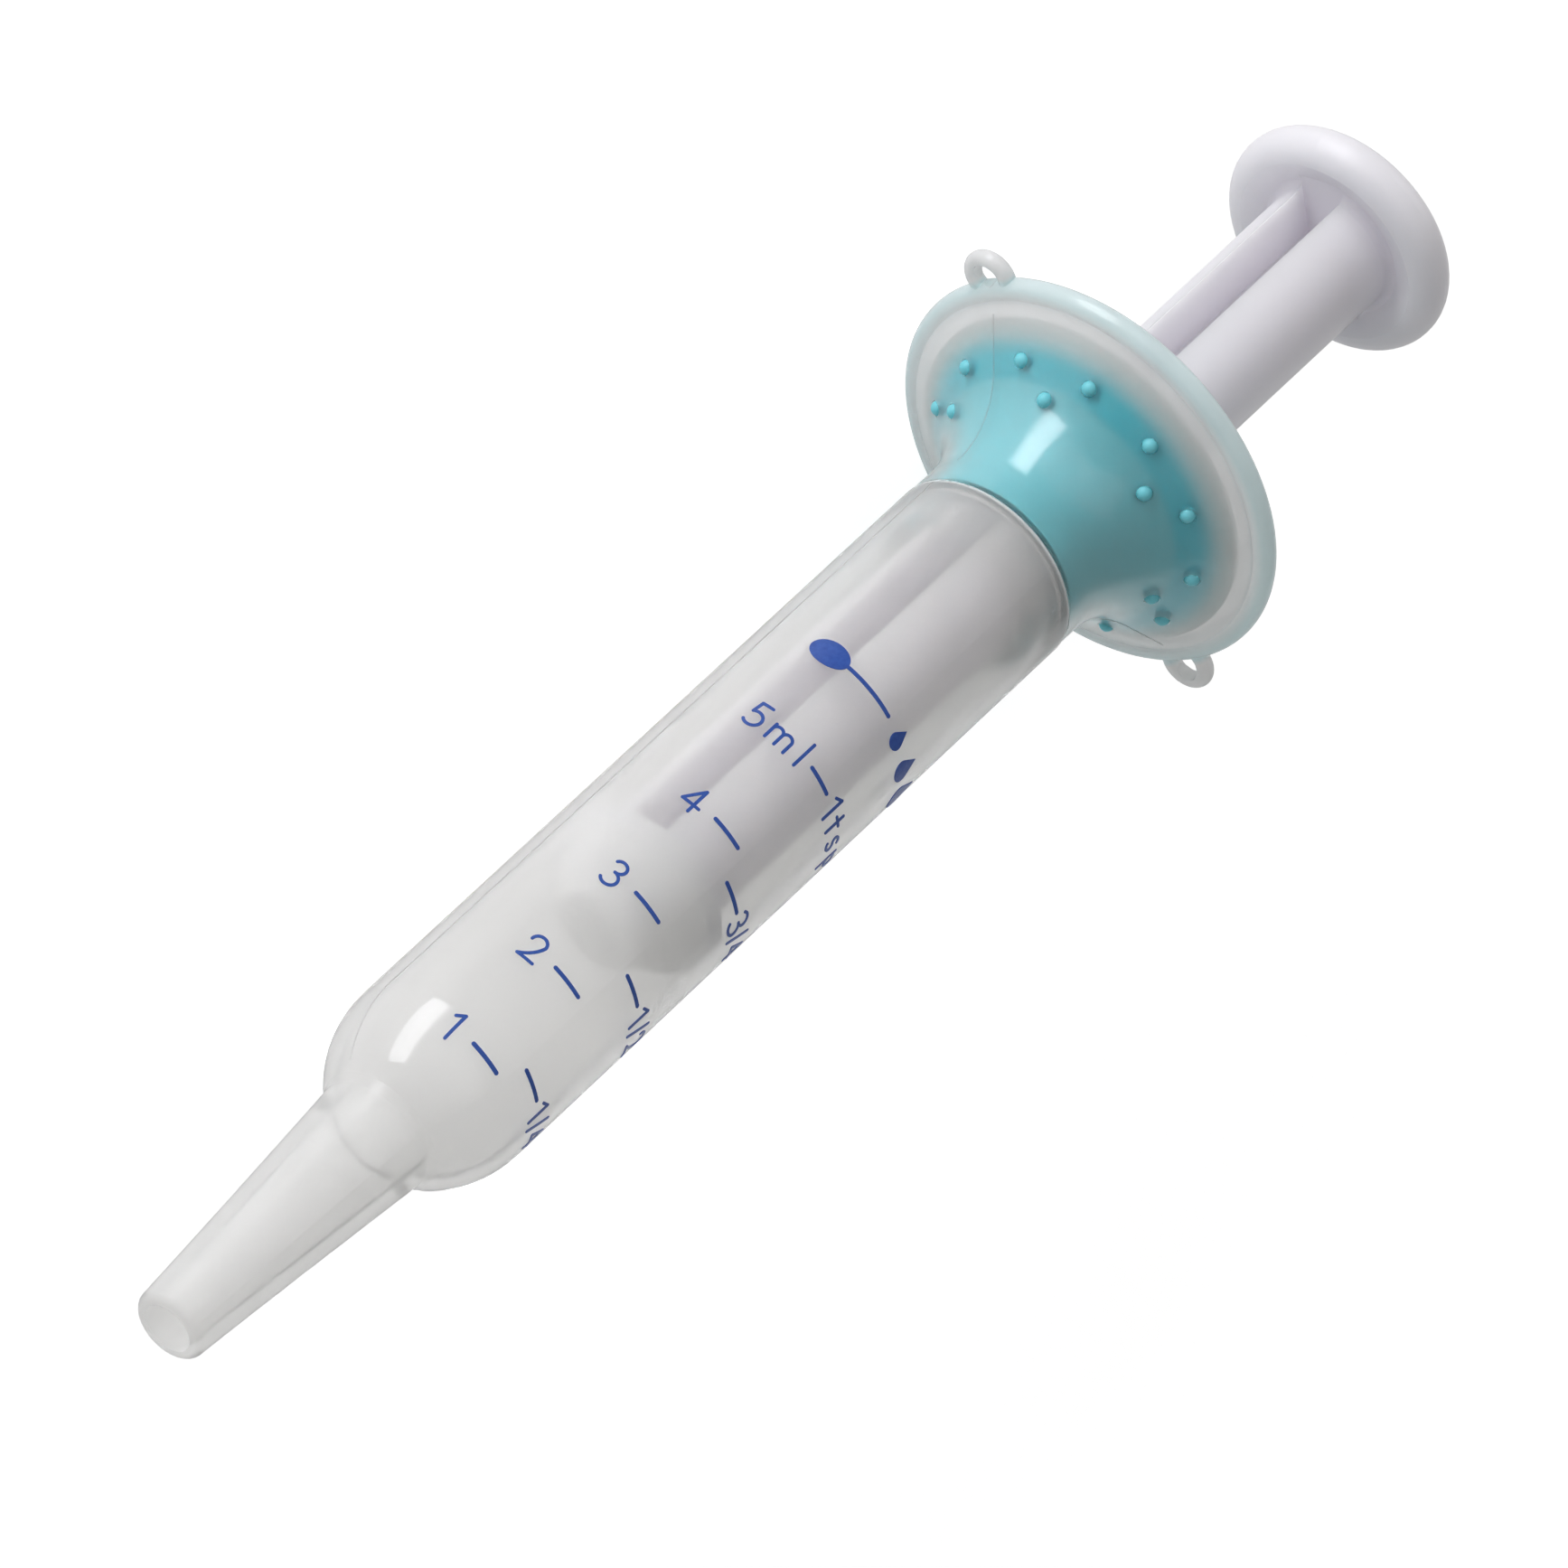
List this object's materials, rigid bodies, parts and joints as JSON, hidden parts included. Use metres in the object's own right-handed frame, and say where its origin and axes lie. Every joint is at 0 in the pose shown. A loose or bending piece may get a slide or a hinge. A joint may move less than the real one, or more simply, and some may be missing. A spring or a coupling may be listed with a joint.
{
  "type": "oral syringe",
  "caption": "Clear dosing syringe with a tapered nozzle, printed scale, flared finger grip with lanyard loops and a sliding fluted plunger.",
  "frame": {"origin": "centre of the nozzle's outlet, where the medicine comes out", "axes": "+X along the barrel and out of the nozzle, +Z through the middle of the printed scale, lanyard loops on +Y and -Y; it lies level on its flange and barrel"},
  "size_m": [0.128, 0.0346, 0.03],
  "materials": {
    "clear_plastic": "translucent natural polypropylene, satin",
    "soft_grip": "turquoise thermoplastic elastomer, soft satin",
    "white_plastic": "white moulded polyethylene, satin",
    "seal_plastic": "natural flexible polyethylene, satin",
    "blue_ink": "printed blue ink"
  },
  "bodies": {
    "barrel_assembly": {"barrel": "clear_plastic", "flange_collar": "clear_plastic", "grip_insert": "soft_grip", "scale_ml": "blue_ink", "scale_tsp": "blue_ink", "dose_mark": "blue_ink"},
    "seal": {"piston_seal": "seal_plastic"},
    "plunger": {"plunger_rod": "white_plastic"}
  },
  "joints": [
    {"name": "plunger_slide", "type": "slide", "parent": "barrel_assembly", "child": "seal", "axis": [1, 0, 0], "range_m": [-0.033, 0.0195]},
    {"name": "plunger_swivel", "type": "hinge", "parent": "seal", "child": "plunger", "pos_m": [-0.047, 0, 0], "axis": [1, 0, 0], "continuous": true}
  ]
}
